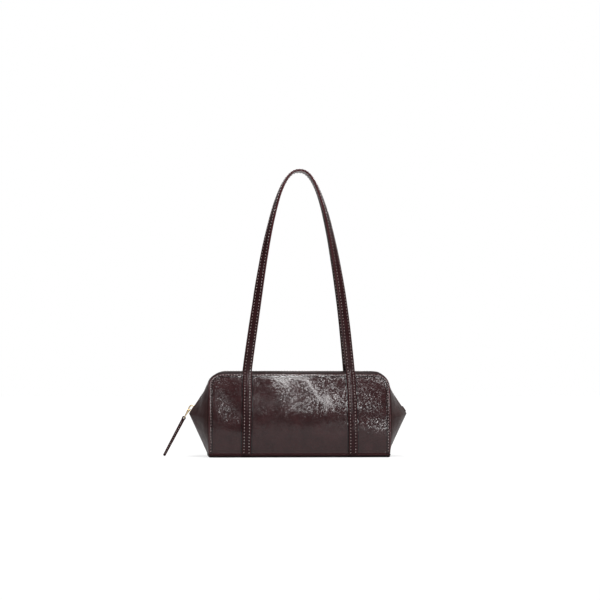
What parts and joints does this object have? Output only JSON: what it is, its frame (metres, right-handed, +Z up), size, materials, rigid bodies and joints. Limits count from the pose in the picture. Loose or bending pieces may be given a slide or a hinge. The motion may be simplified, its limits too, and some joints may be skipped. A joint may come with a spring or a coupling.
{
  "type": "mini bag",
  "caption": "Small barrel-shaped leather handbag with pointed ends, a zip over the ridge, a wire-linked leather zip puller and two long shoulder straps.",
  "frame": {"origin": "middle of the flat underside of the base", "axes": "+X along the bag from the slider's tip to the other tip, -Y towards the front, +Z up"},
  "size_m": [0.313, 0.11, 0.3699],
  "materials": {
    "body_leather": "glazed, finely crinkled, dark burgundy brown",
    "strap_leather": "glazed, with burgundy painted edges and stitching",
    "lining": "plain matt twill",
    "zip_tape": "woven, matt",
    "zip_coil": "satin nylon",
    "gold_metal": "polished pale gold plate",
    "board": "raw"
  },
  "bodies": {
    "shell": {"front_panel": "body_leather", "back_panel": "body_leather", "front_lining": "lining", "back_lining": "lining", "base_panel": "body_leather", "base_board": "board", "base_lining": "lining", "left_gusset_front": "body_leather", "left_lining_front": "lining", "left_tape_front": "zip_tape", "left_teeth_front": "zip_coil", "left_gusset_back": "body_leather", "left_lining_back": "lining", "left_tape_back": "zip_tape", "left_teeth_back": "zip_coil", "right_gusset_front": "body_leather", "right_lining_front": "lining", "right_tape_front": "zip_tape", "right_teeth_front": "zip_coil", "right_gusset_back": "body_leather", "right_lining_back": "lining", "right_tape_back": "zip_tape", "right_teeth_back": "zip_coil", "top_stop_front": "gold_metal", "top_stop_back": "gold_metal", "bottom_stop": "gold_metal", "zip_end_tab": "body_leather", "front_left_strap_leg": "strap_leather", "front_right_strap_leg": "strap_leather", "back_left_strap_leg": "strap_leather", "back_right_strap_leg": "strap_leather"},
    "mouth_front": {"mouth_gusset_front": "body_leather", "mouth_lining_front": "lining", "mouth_tape_front": "zip_tape", "mouth_teeth_front": "zip_coil"},
    "mouth_back": {"mouth_gusset_back": "body_leather", "mouth_lining_back": "lining", "mouth_tape_back": "zip_tape", "mouth_teeth_back": "zip_coil"},
    "slider": {"slider_body": "gold_metal", "slider_bridge": "gold_metal"},
    "link": {"pull_link": "gold_metal"},
    "puller": {"puller_front": "strap_leather", "puller_back": "strap_leather"},
    "strap_front": {"front_strap_face": "strap_leather", "front_strap_backing": "strap_leather"},
    "strap_back": {"back_strap_face": "strap_leather", "back_strap_backing": "strap_leather"}
  },
  "joints": [
    {"name": "slider_slide", "type": "slide", "parent": "shell", "child": "slider", "axis": [0.5664, 0, 0.8241], "range_m": [0, 0.038], "deforming": ["left_teeth_front", "left_teeth_back"]},
    {"name": "link_swing", "type": "hinge", "parent": "slider", "child": "link", "pos_m": [-0.13847, 0, 0.06032], "axis": [0, 1, 0], "range_deg": [-5, 130]},
    {"name": "puller_swing", "type": "hinge", "parent": "link", "child": "puller", "pos_m": [-0.14662, 0, 0.04918], "axis": [0, 1, 0], "range_deg": [-45, 55]},
    {"name": "mouth_front_open", "type": "hinge", "parent": "shell", "child": "mouth_front", "pos_m": [0, -0.0265, 0.1055], "axis": [1, 0, 0], "range_deg": [0, 55]},
    {"name": "mouth_back_open", "type": "hinge", "parent": "shell", "child": "mouth_back", "pos_m": [0, 0.0265, 0.1055], "axis": [-1, 0, 0], "range_deg": [0, 55]},
    {"name": "strap_front_swing", "type": "hinge", "parent": "shell", "child": "strap_front", "pos_m": [0, -0.029, 0.1088], "axis": [1, 0, 0], "range_deg": [0, 112]},
    {"name": "strap_back_swing", "type": "hinge", "parent": "shell", "child": "strap_back", "pos_m": [0, 0.029, 0.1088], "axis": [-1, 0, 0], "range_deg": [0, 112]}
  ]
}
